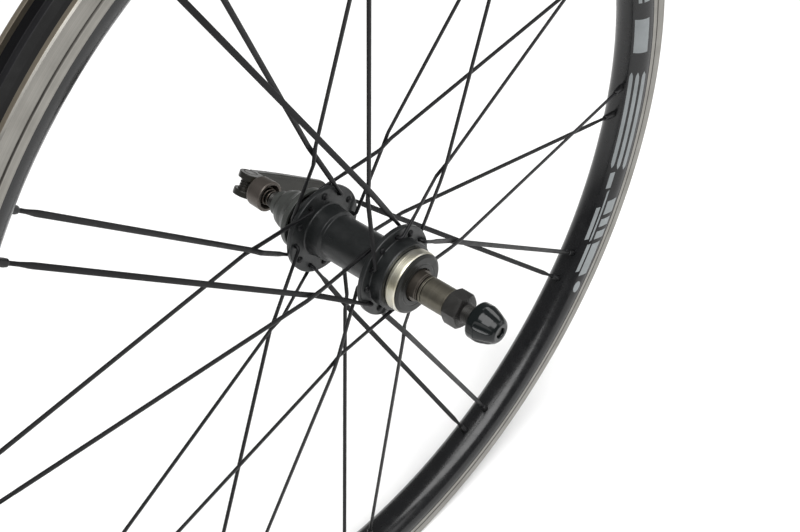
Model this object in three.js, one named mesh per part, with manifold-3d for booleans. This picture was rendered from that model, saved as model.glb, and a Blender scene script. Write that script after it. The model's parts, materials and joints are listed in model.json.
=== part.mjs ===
import * as THREE from "three";
import { mergeVertices } from "three/addons/utils/BufferGeometryUtils.js";
import Module from "manifold-3d";

/*
 * Rear bicycle wheel with a quick-release skewer, millimetres.
 * The hub axis is Y: the threaded drive side and the skewer nut point to -Y, the lever to +Y.
 * +Z is up and the origin is the centre of the wheel, half way between the dropout faces.
 */

// Rim
const RIM_OUTER_R = 260.5;
const BEAD_SEAT_R = 253.5;
const CHANNEL_FLOOR_R = 250.6;
const BRAKE_INNER_R = 248;
const GROOVE_R = 252.5;
const SPOKE_BED_R = 236.3;
const RIM_HALF_WIDTH = 12.5;
const FLANGE_WALL = 2.3;
const HOOK_WALL = 3.1;
const BED_WALL = 2.2;
const BRIDGE_WALL = 1.7;
const RIM_SEGMENTS = 48;
const ACCESS_HOLE_R = 3.6;
const VALVE_HOLE_R = 4.3;

// Spokes, in pairs: one spoke of a pair from each flange
const PAIRS = 12;
const PAIR_STEP = (2 * Math.PI) / PAIRS;
const PAIR_PHASE = THREE.MathUtils.degToRad(-4);
const PAIR_HALF_SPLIT = THREE.MathUtils.degToRad(2.5);
const CROSS_STEPS = 2;
const CROSS_START = 40;
const CROSS_END = 50;
const CROSS_PLANE = 0.83;
const CROSS_OFFSET_Y = 0.85;
const SPOKE_R = 1;
const BLADE_HALF_WIDTH = 1.55;
const BLADE_HALF_THICKNESS = 0.55;
const ELBOW_BEND_R = 2.3;
const NIPPLE_R = 1.95;
const NIPPLE_HEAD_R = 2.75;
const NIPPLE_HEAD_LENGTH = 2;
const NIPPLE_END_R = 2;
const BLADE_START = 15;
const BLADE_END = 30;
const BUTT_START = 22;
const NIPPLE_LENGTH = 13;
const NIPPLE_OFFSET_Y = 0.6;
const SPOKE_HOLE_R = 1.45;

// Hub
const FLANGE_R = 25.8;
const FLANGE_HALF_THICKNESS = 1.5;
const DRIVE_FLANGE_Y = -18;
const LEFT_FLANGE_Y = 33.5;
const HOLE_CIRCLE_R = 21.5;
const BARREL_R = 13.1;
const LEFT_BOSS_R = 14.6;
const THREAD_R = 17.4;
const BEARING_BORE_R = 14.8;
const AXLE_R = 5;
const AXLE_BORE_R = 2.95;
const AXLE_HALF_LENGTH = 72.5;
const DROPOUT_Y = 67.5;
const BALL_R = 3.175;
const BALL_CIRCLE_R = 9.6;
const BALLS = 9;
const THREAD_INNER_Y = -27.3;
const DRIVE_BALL_Y = -28.5;
const LEFT_BALL_Y = 39;

// Skewer
const ROD_R = 2.5;
const NUT_INNER_Y = -74.2;
const NUT_OUTER_Y = -89.6;
const NUT_FLUTES = 6;
const CUP_OPEN_Y = 75;
const CUP_SEAT_Y = 85.5;
const CAM_PIN_Y = 94.1;
const CAM_OFFSET = 1.2;
const CAM_R = 7.1;
const EAR_INNER = 3.3;
const EAR_OUTER = 6.9;
const CAM_PIN_R = 3.9;
const LEVER_ANGLE = THREE.MathUtils.degToRad(-32);
const LEVER_LENGTH = 66.5;
const BLADE_ROOT_Y = 3.4;
const BLADE_SWEEP = 8.4;
const GAP = 0.3;

// Finishes
const BLACK_ANODISED = { color: 0x1c1e20, roughness: 0.42, metalness: 0.6 };
const BRAKE_ALUMINIUM = { color: 0x25272a, roughness: 0.35, metalness: 0.7 };
const BLACK_STEEL = { color: 0x222426, roughness: 0.5, metalness: 0.6 };
const BRIGHT_STEEL = { color: 0xc4bea8, roughness: 0.3, metalness: 1 };
const BEARING_STEEL = { color: 0x9a9c9e, roughness: 0.2, metalness: 1 };
const DULL_STEEL = { color: 0x6b6660, roughness: 0.45, metalness: 0.9 };
const GREY_ALUMINIUM = { color: 0x63656a, roughness: 0.5, metalness: 0.7 };
const LEVER_ALLOY = { color: 0x5d5a57, roughness: 0.42, metalness: 0.75 };
const GLOSS_ALLOY = { color: 0x20282c, roughness: 0.18, metalness: 0.7 };
const RUBBER = { color: 0x141414, roughness: 0.85, metalness: 0 };
const BRASS = { color: 0x8f7440, roughness: 0.4, metalness: 0.9 };
const NYLON = { color: 0xd9d6c8, roughness: 0.6, metalness: 0 };

const wasm = await Module();
wasm.setup();

const wheel = new THREE.Group();
wheel.name = "quick_release_rear_wheel";

/** A closed three.js geometry as a solid that can be joined, cut and intersected. */
function toSolid(geometry) {
  const bare = geometry.clone();
  bare.deleteAttribute("normal");
  bare.deleteAttribute("uv");
  const merged = mergeVertices(bare, 1e-4);
  const corners = [];
  const index = merged.index.array;
  for (let i = 0; i < index.length; i += 3) {
    const [a, b, c] = [index[i], index[i + 1], index[i + 2]];
    if (a !== b && b !== c && c !== a) {
      corners.push(a, b, c);
    }
  }
  return new wasm.Manifold(
    new wasm.Mesh({
      numProp: 3,
      vertProperties: merged.attributes.position.array,
      triVerts: new Uint32Array(corners),
    }),
  );
}

/** Adds a solid to the wheel as one named mesh with a material of its own. */
function addPart(name, solid, finish) {
  const shape = solid.getMesh();
  const geometry = new THREE.BufferGeometry();
  geometry.setAttribute("position", new THREE.BufferAttribute(shape.vertProperties, 3));
  geometry.setIndex(new THREE.BufferAttribute(shape.triVerts, 1));
  geometry.computeVertexNormals();
  const mesh = new THREE.Mesh(geometry, new THREE.MeshStandardMaterial(finish));
  mesh.name = name;
  wheel.add(mesh);
}

/** A part turned about the hub axis from [radius, y] points that make a closed outline. */
function turned(outline, segments) {
  const points = outline.map(([r, y]) => new THREE.Vector2(r, y));
  if (THREE.ShapeUtils.area(points) < 0) {
    points.reverse();
  }
  points.push(points[0].clone());
  return toSolid(new THREE.LatheGeometry(points, segments));
}

/** A plain ring between two radii and two stations on the hub axis. */
function ring(innerR, outerR, y0, y1, segments) {
  return turned([[innerR, y0], [outerR, y0], [outerR, y1], [innerR, y1]], segments);
}

/** A ring whose outer edges are broken by a 45 degree chamfer. */
function chamferedRing(innerR, outerR, y0, y1, chamfer, segments) {
  const outline = [
    [innerR, y0],
    [outerR - chamfer, y0],
    [outerR, y0 + chamfer],
    [outerR, y1 - chamfer],
    [outerR - chamfer, y1],
    [innerR, y1],
  ];
  return turned(outline, segments);
}

/** A round bar from one point to another. */
function bar(from, to, radius, segments) {
  const length = from.distanceTo(to);
  const geometry = new THREE.CylinderGeometry(radius, radius, length, segments);
  const along = to.clone().sub(from).normalize();
  const turn = new THREE.Quaternion().setFromUnitVectors(new THREE.Vector3(0, 1, 0), along);
  geometry.applyQuaternion(turn);
  const middle = from.clone().add(to).multiplyScalar(0.5);
  geometry.translate(middle.x, middle.y, middle.z);
  return toSolid(geometry);
}

/** The point at a radius and angle in the plane of the wheel, at a station on the hub axis. */
function polar(radius, angle, y) {
  return new THREE.Vector3(radius * Math.cos(angle), y, radius * Math.sin(angle));
}

/** The radial direction at an angle in the plane of the wheel. */
function radial(angle) {
  return polar(1, angle, 0);
}

/** A bar through a hub flange or wall, parallel to the hub axis. */
function axialBar(radius, angle, y0, y1, barR, segments) {
  return bar(polar(radius, angle, y0), polar(radius, angle, y1), barR, segments);
}

/** A skin through rings of points, closed by a flat cap at each end. */
function loft(rings) {
  const count = rings[0].length;
  const positions = [];
  const index = [];
  for (const points of rings) {
    for (const p of points) {
      positions.push(p.x, p.y, p.z);
    }
  }
  for (let i = 0; i + 1 < rings.length; i++) {
    for (let k = 0; k < count; k++) {
      const a = i * count + k;
      const b = i * count + ((k + 1) % count);
      index.push(a, b, b + count, a, b + count, a + count);
    }
  }
  const last = (rings.length - 1) * count;
  for (let k = 1; k + 1 < count; k++) {
    index.push(0, k + 1, k, last, last + k, last + k + 1);
  }
  const geometry = new THREE.BufferGeometry();
  geometry.setAttribute("position", new THREE.Float32BufferAttribute(positions, 3));
  geometry.setIndex(index);
  return geometry;
}

/** Wire of a round section along a curve. */
function wire(curve, radius, steps) {
  const section = new THREE.Shape();
  section.absarc(0, 0, radius, 0, 2 * Math.PI, false);
  const options = { steps, curveSegments: 3, bevelEnabled: false, extrudePath: curve };
  return toSolid(new THREE.ExtrudeGeometry(section, options));
}

/** A hexagonal prism on the hub axis with its corners turned off at both ends. */
function hexNut(acrossFlats, boreR, y0, y1) {
  const cornerR = acrossFlats / Math.sqrt(3);
  const height = y1 - y0;
  const blank = new THREE.CylinderGeometry(cornerR, cornerR, height, 6);
  blank.translate(0, (y0 + y1) / 2, 0);
  const faceR = acrossFlats / 2 - 0.4;
  const trim = cornerR - faceR;
  const envelope = turned(
    [
      [boreR, y0],
      [faceR, y0],
      [cornerR, y0 + trim * 0.6],
      [cornerR, y1 - trim * 0.6],
      [faceR, y1],
      [boreR, y1],
    ],
    24,
  );
  return toSolid(blank).intersect(envelope);
}

const spokes = [];
for (let k = 0; k < PAIRS; k++) {
  const pairAngle = PAIR_PHASE + k * PAIR_STEP;
  const outsideFlange = k % 2 === 1;
  const lead = outsideFlange ? CROSS_STEPS : -CROSS_STEPS;
  for (const side of [-1, 1]) {
    spokes.push({
      side,
      flangeY: side < 0 ? DRIVE_FLANGE_Y : LEFT_FLANGE_Y,
      exit: outsideFlange ? side : -side,
      holeAngle: pairAngle + lead * PAIR_STEP,
      rimAngle: pairAngle - side * PAIR_HALF_SPLIT,
    });
  }
}

/**
 * The path of one spoke: its elbow, the bends where it passes round the spoke that it crosses,
 * and the end of its nipple's head.
 */
function spokeLine(spoke) {
  const through = new THREE.Vector3(0, spoke.exit, 0);
  const bendStart = polar(
    HOLE_CIRCLE_R,
    spoke.holeAngle,
    spoke.flangeY + spoke.exit * (FLANGE_HALF_THICKNESS + 0.25),
  );
  const headEnd = polar(
    SPOKE_BED_R + BED_WALL + 2.6,
    spoke.rimAngle,
    spoke.side * NIPPLE_OFFSET_Y,
  );
  const under = spoke.exit === spoke.side ? -1 : 1;
  const crossY = CROSS_PLANE * spoke.flangeY + under * spoke.side * CROSS_OFFSET_Y;
  const direct = headEnd.clone().sub(bendStart);
  const crossing = [CROSS_START, CROSS_END].map((distance) =>
    bendStart.clone().addScaledVector(direct, distance / direct.length()).setY(crossY),
  );
  let bendEnd = bendStart.clone();
  let along;
  let sideways;
  let turn;
  for (let pass = 0; pass < 5; pass++) {
    along = crossing[0].clone().sub(bendEnd).normalize();
    sideways = along.clone().addScaledVector(through, -along.dot(through)).normalize();
    turn = Math.acos(along.dot(through));
    bendEnd = bendStart
      .clone()
      .addScaledVector(sideways, ELBOW_BEND_R * (1 - Math.cos(turn)))
      .addScaledVector(through, ELBOW_BEND_R * Math.sin(turn));
  }
  const outer = headEnd.clone().sub(crossing[1]).normalize();
  return { through, bendStart, bendEnd, crossing, headEnd, along, outer, sideways, turn };
}

/** One spoke with the nipple that is screwed on it: head, elbow, butt, blade, thread, nipple. */
function spokeSolid(spoke) {
  const line = spokeLine(spoke);
  const across = new THREE.Vector3().crossVectors(line.through, line.sideways).normalize();
  const rings = [];
  const addRing = (centre, tangent, halfWidth, halfThickness) => {
    const up = new THREE.Vector3().crossVectors(tangent, across).normalize();
    const points = [];
    for (let i = 0; i < 6; i++) {
      const angle = (i * Math.PI) / 3;
      points.push(
        centre
          .clone()
          .addScaledVector(across, halfWidth * Math.cos(angle))
          .addScaledVector(up, halfThickness * Math.sin(angle)),
      );
    }
    rings.push(points);
  };
  const headBase = polar(
    HOLE_CIRCLE_R,
    spoke.holeAngle,
    spoke.flangeY - spoke.exit * (FLANGE_HALF_THICKNESS + GAP),
  );
  const headTop = headBase.clone().addScaledVector(line.through, -1);
  addRing(headTop, line.through, 1.3, 1.3);
  addRing(headBase, line.through, 1.9, 1.9);
  addRing(headBase, line.through, SPOKE_R, SPOKE_R);
  const bends = 2;
  for (let i = 0; i <= bends; i++) {
    const turn = (line.turn * i) / bends;
    const centre = line.bendStart
      .clone()
      .addScaledVector(line.sideways, ELBOW_BEND_R * (1 - Math.cos(turn)))
      .addScaledVector(line.through, ELBOW_BEND_R * Math.sin(turn));
    const tangent = line.through
      .clone()
      .multiplyScalar(Math.cos(turn))
      .addScaledVector(line.sideways, Math.sin(turn));
    addRing(centre, tangent, SPOKE_R, SPOKE_R);
  }
  const blade = [BLADE_HALF_WIDTH, BLADE_HALF_THICKNESS];
  addRing(line.bendEnd.clone().addScaledVector(line.along, BLADE_START), line.along, ...blade);
  const middle = line.crossing[1].clone().sub(line.crossing[0]).normalize();
  addRing(line.crossing[0], line.along.clone().add(middle).normalize(), ...blade);
  addRing(line.crossing[1], line.outer.clone().add(middle).normalize(), ...blade);
  const stations = [
    [BLADE_END, ...blade],
    [BUTT_START, SPOKE_R, SPOKE_R],
    [NIPPLE_LENGTH, SPOKE_R, SPOKE_R],
    [NIPPLE_LENGTH, NIPPLE_R, NIPPLE_R],
    [NIPPLE_HEAD_LENGTH, NIPPLE_R, NIPPLE_R],
    [NIPPLE_HEAD_LENGTH, NIPPLE_HEAD_R, NIPPLE_HEAD_R],
    [0, NIPPLE_END_R, NIPPLE_END_R],
  ];
  for (const [fromEnd, halfWidth, halfThickness] of stations) {
    const centre = line.headEnd.clone().addScaledVector(line.outer, -fromEnd);
    addRing(centre, line.outer, halfWidth, halfThickness);
  }
  return toSolid(loft(rings));
}

spokes.forEach((spoke, i) => {
  const name = "spoke_" + String(i + 1).padStart(2, "0");
  addPart(name, spokeSolid(spoke), BLACK_STEEL);
});

/** Rounded aero side of the rim, from the brake track round the nose, at a wall inset. */
function noseOutline(inset) {
  const outline = [];
  const steps = 3;
  const halfWidth = RIM_HALF_WIDTH - 0.2 - inset;
  const depth = BRAKE_INNER_R - SPOKE_BED_R - inset;
  for (let i = -steps; i <= steps; i++) {
    const angle = (i * Math.PI) / (2 * steps);
    const y = halfWidth * Math.sign(i) * Math.abs(Math.sin(angle)) ** 0.9;
    const r = BRAKE_INNER_R - depth * Math.cos(angle) ** 0.9;
    outline.push([r, y]);
  }
  return outline;
}

/** Hollow double-wall rim: brake tracks with a wear groove, hooked flanges and a deep nose. */
function rimSolid() {
  const w = RIM_HALF_WIDTH;
  const wall = [
    [BRAKE_INNER_R + 0.2, w],
    [GROOVE_R - 0.6, w],
    [GROOVE_R, w - 0.5],
    [GROOVE_R + 0.6, w],
    [RIM_OUTER_R - 0.8, w],
    [RIM_OUTER_R, w - 0.8],
    [RIM_OUTER_R, w - HOOK_WALL],
    [RIM_OUTER_R - 3, w - FLANGE_WALL],
    [BEAD_SEAT_R, w - FLANGE_WALL],
    [BEAD_SEAT_R, 7],
    [CHANNEL_FLOOR_R, 5],
  ];
  const left = wall.map(([r, y]) => [r, -y]).reverse();
  const outer = turned([...noseOutline(0), ...wall, ...left], RIM_SEGMENTS);
  const roofR = CHANNEL_FLOOR_R - BRIDGE_WALL;
  const chamber = noseOutline(BED_WALL).filter(([r]) => r < roofR - 1);
  const last = chamber[chamber.length - 1][1];
  const cavity = turned([...chamber, [roofR, last], [roofR, -last]], RIM_SEGMENTS);
  const holes = [];
  for (const spoke of spokes) {
    const line = spokeLine(spoke);
    const from = line.headEnd.clone().addScaledVector(line.outer, -9);
    holes.push(bar(from, line.headEnd, NIPPLE_R + 0.4, 6));
    const out = radial(spoke.rimAngle);
    const bridge = out.clone().multiplyScalar(roofR - 2);
    holes.push(bar(bridge, out.clone().multiplyScalar(BEAD_SEAT_R + 2), ACCESS_HOLE_R, 6));
  }
  const valve = radial(PAIR_PHASE + 8.5 * PAIR_STEP);
  const inside = valve.clone().multiplyScalar(SPOKE_BED_R - 3);
  holes.push(bar(inside, valve.clone().multiplyScalar(BEAD_SEAT_R + 2), VALVE_HOLE_R, 12));
  return outer.subtract(cavity).subtract(wasm.Manifold.union(holes));
}

addPart("rim", rimSolid(), BRAKE_ALUMINIUM);

/** Rubber strip that covers the spoke holes in the floor of the tyre channel. */
function rimStrip() {
  const inner = CHANNEL_FLOOR_R + GAP;
  const strip = turned(
    [
      [inner, -4.6],
      [inner, 4.6],
      [inner + 2.5, 6.6],
      [inner + 3.4, 6.4],
      [inner + 0.9, 4.2],
      [inner + 0.9, -4.2],
      [inner + 3.4, -6.4],
      [inner + 2.5, -6.6],
    ],
    RIM_SEGMENTS,
  );
  const valve = radial(PAIR_PHASE + 8.5 * PAIR_STEP);
  const from = valve.clone().multiplyScalar(CHANNEL_FLOOR_R - 2);
  const to = valve.clone().multiplyScalar(BEAD_SEAT_R + 4);
  return strip.subtract(bar(from, to, VALVE_HOLE_R - 0.4, 12));
}

addPart("rim_strip", rimStrip(), RUBBER);

/** Hub shell: waisted barrel, two drilled flanges and the seats of the two bearings. */
function hubShell() {
  const h = FLANGE_HALF_THICKNESS;
  const driveOut = DRIVE_FLANGE_Y - h;
  const driveIn = DRIVE_FLANGE_Y + h;
  const leftIn = LEFT_FLANGE_Y - h;
  const leftOut = LEFT_FLANGE_Y + h;
  const shell = turned(
    [
      [BEARING_BORE_R, THREAD_INNER_Y + 2 * GAP],
      [THREAD_R + GAP, THREAD_INNER_Y + 2 * GAP],
      [THREAD_R + GAP, THREAD_INNER_Y + GAP],
      [19, THREAD_INNER_Y + GAP],
      [19.3, THREAD_INNER_Y + 1.2],
      [19.3, driveOut],
      [FLANGE_R - 0.5, driveOut],
      [FLANGE_R, driveOut + 0.5],
      [FLANGE_R, driveIn - 0.5],
      [FLANGE_R - 0.5, driveIn],
      [16.5, driveIn],
      [BARREL_R, driveIn + 4],
      [BARREL_R, leftIn - 10],
      [LEFT_BOSS_R, leftIn - 9],
      [LEFT_BOSS_R + 0.6, leftIn],
      [FLANGE_R - 0.5, leftIn],
      [FLANGE_R, leftIn + 0.5],
      [FLANGE_R, leftOut - 0.5],
      [FLANGE_R - 0.5, leftOut],
      [17.4, leftOut],
      [17.4, leftOut + 7],
      [BEARING_BORE_R, leftOut + 7],
      [BEARING_BORE_R, LEFT_BALL_Y - 5.2],
      [9.5, LEFT_BALL_Y - 5.8],
      [9.5, DRIVE_BALL_Y + 5.8],
      [BEARING_BORE_R, DRIVE_BALL_Y + 5.2],
    ],
    30,
  );
  const holes = [];
  for (const flangeY of [DRIVE_FLANGE_Y, LEFT_FLANGE_Y]) {
    for (let k = 0; k < PAIRS; k++) {
      const angle = PAIR_PHASE + k * PAIR_STEP;
      holes.push(axialBar(HOLE_CIRCLE_R, angle, flangeY - 3, flangeY + 3, SPOKE_HOLE_R, 6));
    }
  }
  return shell.subtract(wasm.Manifold.union(holes));
}

addPart("hub_shell", hubShell(), BLACK_ANODISED);
addPart("freewheel_thread_ring", threadRing(), BRIGHT_STEEL);

/** Steel ring on the drive side of the shell that carries the freewheel thread. */
function threadRing() {
  return turned(
    [
      [BEARING_BORE_R, THREAD_INNER_Y],
      [THREAD_R - 0.9, THREAD_INNER_Y],
      [THREAD_R - 0.9, THREAD_INNER_Y - 1],
      [THREAD_R, THREAD_INNER_Y - 1.4],
      [THREAD_R, THREAD_INNER_Y - 6.2],
      [THREAD_R - 0.5, THREAD_INNER_Y - 6.8],
      [15.9, THREAD_INNER_Y - 6.8],
      [15.9, THREAD_INNER_Y - 5],
      [BEARING_BORE_R, THREAD_INNER_Y - 5],
    ],
    32,
  );
}

/** Pressed steel ball race with a hollow that the balls run in. */
function bearingCup(ballY, out) {
  const y = (distance) => ballY + out * distance;
  const r = BALL_CIRCLE_R;
  return turned(
    [
      [14.5, y(-4)],
      [14.5, y(2.7)],
      [13.5, y(2.7)],
      [r + 3.7, y(0)],
      [r + 2.85, y(-2.4)],
      [r + 0.7, y(-3.65)],
      [r - 1.5, y(-3.75)],
      [r - 1.5, y(-4.9)],
      [13.4, y(-4.9)],
    ],
    24,
  );
}

addPart("drive_bearing_cup", bearingCup(DRIVE_BALL_Y, -1), BEARING_STEEL);
addPart("left_bearing_cup", bearingCup(LEFT_BALL_Y, 1), BEARING_STEEL);

/** Set of bearing balls held at even spacing by a sheet-metal retainer. */
function ballCage(ballY, out) {
  const pieces = [];
  for (let k = 0; k < BALLS; k++) {
    const ball = new THREE.SphereGeometry(BALL_R, 8, 5);
    const centre = polar(BALL_CIRCLE_R, (2 * Math.PI * k) / BALLS, ballY);
    ball.translate(centre.x, centre.y, centre.z);
    pieces.push(toSolid(ball));
  }
  const y0 = ballY + out * 1.9;
  const y1 = ballY + out * 2.5;
  pieces.push(ring(BALL_CIRCLE_R - 0.9, BALL_CIRCLE_R + 1.4, Math.min(y0, y1), Math.max(y0, y1), 18));
  return wasm.Manifold.union(pieces);
}

addPart("drive_ball_cage", ballCage(DRIVE_BALL_Y, -1), BEARING_STEEL);
addPart("left_ball_cage", ballCage(LEFT_BALL_Y, 1), BEARING_STEEL);

/** Adjustable cone: a curved ball track, a shoulder and two wrench flats. */
function cone(ballY, out, endY, shoulderR, acrossFlats) {
  const y = (distance) => ballY + out * distance;
  const blank = turned(
    [
      [AXLE_R + GAP, y(-3.4)],
      [5.9, y(-3.4)],
      [6.05, y(-0.2)],
      [6.6, y(2.1)],
      [8, y(3.5)],
      [shoulderR, y(3.8)],
      [shoulderR, endY],
      [AXLE_R + GAP, endY],
    ],
    20,
  );
  const flatLength = 4;
  const cuts = [];
  for (const side of [-1, 1]) {
    const slab = new THREE.BoxGeometry(40, flatLength, 10);
    slab.translate(0, endY - (out * flatLength) / 2, side * (acrossFlats / 2 + 5));
    slab.rotateY(0.9);
    cuts.push(toSolid(slab));
  }
  return blank.subtract(wasm.Manifold.union(cuts));
}

addPart("drive_cone", cone(DRIVE_BALL_Y, -1, -41.1, 8.8, 15), DULL_STEEL);
addPart("left_cone", cone(LEFT_BALL_Y, 1, 47.9, 8.8, 15), DULL_STEEL);

/** Pressed cover that closes a bearing round the cone. */
function dustCap(y0, y1, outerR, seatR, seatDepth, out) {
  return turned(
    [
      [9.4, y1],
      [outerR - 1, y1],
      [outerR, y1 - out * 0.9],
      [outerR, y0],
      [seatR, y0],
      [seatR, y0 - out * seatDepth],
      [seatR - 1, y0 - out * seatDepth],
      [seatR - 1, y0 + out * 0.2],
      [9.4, y1 - out * 0.8],
    ],
    28,
  );
}

addPart("drive_dust_cap", dustCap(-34.4, -35.8, 16.9, 15.6, 1.6, -1), BLACK_ANODISED);
addPart("left_dust_cap", dustCap(42.2, 43.6, 16.9, 13, 0.8, 1), BLACK_ANODISED);

/** Hollow steel axle with chamfered ends. */
function axle() {
  const end = AXLE_HALF_LENGTH;
  return turned(
    [
      [AXLE_BORE_R, -end],
      [AXLE_R - 0.7, -end],
      [AXLE_R, -end + 0.7],
      [AXLE_R, end - 0.7],
      [AXLE_R - 0.7, end],
      [AXLE_BORE_R, end],
    ],
    20,
  );
}

/** Washer with a tongue that keys in the slot of the axle. */
function lockWasher(y0, y1) {
  return chamferedRing(AXLE_R + GAP, 7.8, y0, y1, 0.2, 20);
}

addPart("axle", axle(), DULL_STEEL);
addPart("drive_lock_washer", lockWasher(-42.8, -41.4), DULL_STEEL);
addPart("spacer_sleeve", chamferedRing(AXLE_R + GAP, 7.8, -57.7, -43.1, 0.3, 24), DULL_STEEL);
addPart("drive_locknut", hexNut(17, AXLE_R + GAP, -DROPOUT_Y, -58), DULL_STEEL);
addPart("left_lock_washer", lockWasher(48.2, 49.6), DULL_STEEL);
addPart("left_locknut", hexNut(17, AXLE_R + GAP, 49.9, 57), DULL_STEEL);

/** Smooth domed cap over the left locknut; its end face bears on the dropout. */
function leftEndCap() {
  return turned(
    [
      [AXLE_R + GAP, DROPOUT_Y],
      [6.9, DROPOUT_Y],
      [7.2, DROPOUT_Y - 0.3],
      [7.2, DROPOUT_Y - 3.6],
      [8.8, DROPOUT_Y - 4.2],
      [10.4, DROPOUT_Y - 6.4],
      [11.6, DROPOUT_Y - 9.6],
      [12, DROPOUT_Y - 12.6],
      [13.6, DROPOUT_Y - 15.5],
      [17.9, DROPOUT_Y - 19.7],
      [17.9, DROPOUT_Y - 22.9],
      [16.2, DROPOUT_Y - 22.9],
      [15.6, DROPOUT_Y - 20.1],
      [10.6, DROPOUT_Y - 15.5],
      [10.1, DROPOUT_Y - 10.2],
      [AXLE_R + GAP, DROPOUT_Y - 8.4],
    ],
    28,
  );
}

addPart("left_end_cap", leftEndCap(), GREY_ALUMINIUM);

/** Skewer rod from the nut to the cross pin in the lever. */
function skewerRod() {
  return turned(
    [
      [0, NUT_OUTER_Y + 1.2],
      [ROD_R - 0.5, NUT_OUTER_Y + 1.2],
      [ROD_R, NUT_OUTER_Y + 1.7],
      [ROD_R, CAM_PIN_Y + 2.5],
      [ROD_R - 0.5, CAM_PIN_Y + 3],
      [0, CAM_PIN_Y + 3],
    ],
    16,
  );
}

addPart("skewer_rod", skewerRod(), DULL_STEEL);

/** Conical wire spring between two stations on the rod, from one coil radius to another. */
function conicalSpring(y0, y1, r0, r1, turns) {
  const points = [];
  const steps = turns * 9;
  for (let i = 0; i <= steps; i++) {
    const t = i / steps;
    points.push(polar(r0 + (r1 - r0) * t, 2 * Math.PI * turns * t, y0 + (y1 - y0) * t));
  }
  return wire(new THREE.CatmullRomCurve3(points), 0.55, steps);
}

addPart("drive_spring", conicalSpring(-73.2, -76.9, 3.9, 6.4, 3), BEARING_STEEL);
addPart("left_spring", conicalSpring(73.4, 81.2, 3.9, 6.2, 4), BEARING_STEEL);

/** Skewer nut: a round clamping flange, a fluted cone and a blind recess for the spring. */
function skewerNut() {
  const body = turned(
    [
      [7.4, NUT_INNER_Y],
      [9.3, NUT_INNER_Y],
      [10, NUT_INNER_Y - 0.7],
      [10.1, NUT_INNER_Y - 5.4],
      [9.5, NUT_INNER_Y - 8],
      [8.1, NUT_INNER_Y - 11.8],
      [6.5, NUT_OUTER_Y + 1],
      [5.2, NUT_OUTER_Y],
      [ROD_R + GAP, NUT_OUTER_Y],
      [ROD_R + GAP, NUT_INNER_Y - 6],
      [4.4, NUT_INNER_Y - 6],
      [4.4, NUT_INNER_Y - 3.6],
      [7.4, NUT_INNER_Y - 3.6],
    ],
    28,
  );
  const flutes = [];
  for (let k = 0; k < NUT_FLUTES; k++) {
    const angle = (2 * Math.PI * (k + 0.5)) / NUT_FLUTES;
    const from = polar(13.4, angle, NUT_INNER_Y - 5.4);
    flutes.push(bar(from, polar(10, angle, NUT_OUTER_Y - 1), 4, 10));
  }
  return body.subtract(wasm.Manifold.union(flutes));
}

addPart("skewer_nut", skewerNut(), GLOSS_ALLOY);
addPart(
  "nut_insert",
  ring(ROD_R + GAP, 4.1, NUT_INNER_Y - 5.7, NUT_INNER_Y - 4.1, 20),
  NYLON,
);

/** Cup that the cam pushes against the dropout; the spring sits in its open side. */
function cupBody() {
  return turned(
    [
      [7.2, CUP_OPEN_Y],
      [8.6, CUP_OPEN_Y],
      [9.1, CUP_OPEN_Y + 0.6],
      [8.9, CUP_SEAT_Y - 1.4],
      [8.6, CUP_SEAT_Y - 0.4],
      [8.2, CUP_SEAT_Y - 0.4],
      [8.2, CUP_SEAT_Y - 2.4],
      [ROD_R + GAP, CUP_SEAT_Y - 2.4],
      [ROD_R + GAP, CUP_SEAT_Y - 3.5],
      [7.2, CUP_SEAT_Y - 3.5],
    ],
    24,
  );
}

addPart("cam_cup", cupBody(), LEVER_ALLOY);
addPart(
  "cam_bushing",
  chamferedRing(ROD_R + GAP, 7.9, CUP_SEAT_Y - 2.1, CUP_SEAT_Y, 0.3, 24),
  BRASS,
);

const leverAlong = radial(LEVER_ANGLE);
const leverAcross = radial(LEVER_ANGLE + Math.PI / 2);

/** The point at a distance along the lever, across it and along the hub axis. */
function leverPoint(along, across, y) {
  return leverAlong.clone().multiplyScalar(along).addScaledVector(leverAcross, across).setY(y);
}

/** Cross pin through the two lever ears, drilled for the rod. */
function crossPin() {
  const from = leverPoint(0, -EAR_OUTER, CAM_PIN_Y);
  const to = leverPoint(0, EAR_OUTER, CAM_PIN_Y);
  const rodHole = bar(
    new THREE.Vector3(0, CAM_PIN_Y - 8, 0),
    new THREE.Vector3(0, CAM_PIN_Y + 8, 0),
    ROD_R + GAP,
    16,
  );
  return bar(from, to, CAM_PIN_R, 16).subtract(rodHole);
}

addPart("cross_pin", crossPin(), DULL_STEEL);

/** A plate in the plane of the lever: an outline of [along, y] points given a width across. */
function leverPlate(outline, across0, across1) {
  const shape = new THREE.Shape(outline.map(([s, y]) => new THREE.Vector2(s, y)));
  const depth = across1 - across0;
  const geometry = new THREE.ExtrudeGeometry(shape, { depth, bevelEnabled: false });
  geometry.translate(0, 0, across0);
  const frame = new THREE.Matrix4().makeBasis(
    leverAlong,
    new THREE.Vector3(0, 1, 0),
    new THREE.Vector3().crossVectors(leverAlong, new THREE.Vector3(0, 1, 0)),
  );
  geometry.applyMatrix4(frame);
  return toSolid(geometry);
}

/** Height of the lever blade's middle above the wheel centre, at a distance along it. */
function bladeY(along) {
  const t = along / LEVER_LENGTH;
  return CAM_PIN_Y + BLADE_ROOT_Y - BLADE_SWEEP * t * t;
}

/** The outline of the blade between its inner and outer face, with an inset from both. */
function bladeOutline(from, to, innerInset, outerInset) {
  const inner = [];
  const outer = [];
  const steps = 6;
  for (let i = 0; i <= steps; i++) {
    const s = from + ((to - from) * i) / steps;
    const half = 2.4 - (0.8 * s) / LEVER_LENGTH;
    inner.push([s, bladeY(s) - half + innerInset]);
    outer.unshift([s, bladeY(s) + half - outerInset]);
  }
  return [...inner, ...outer];
}

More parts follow.
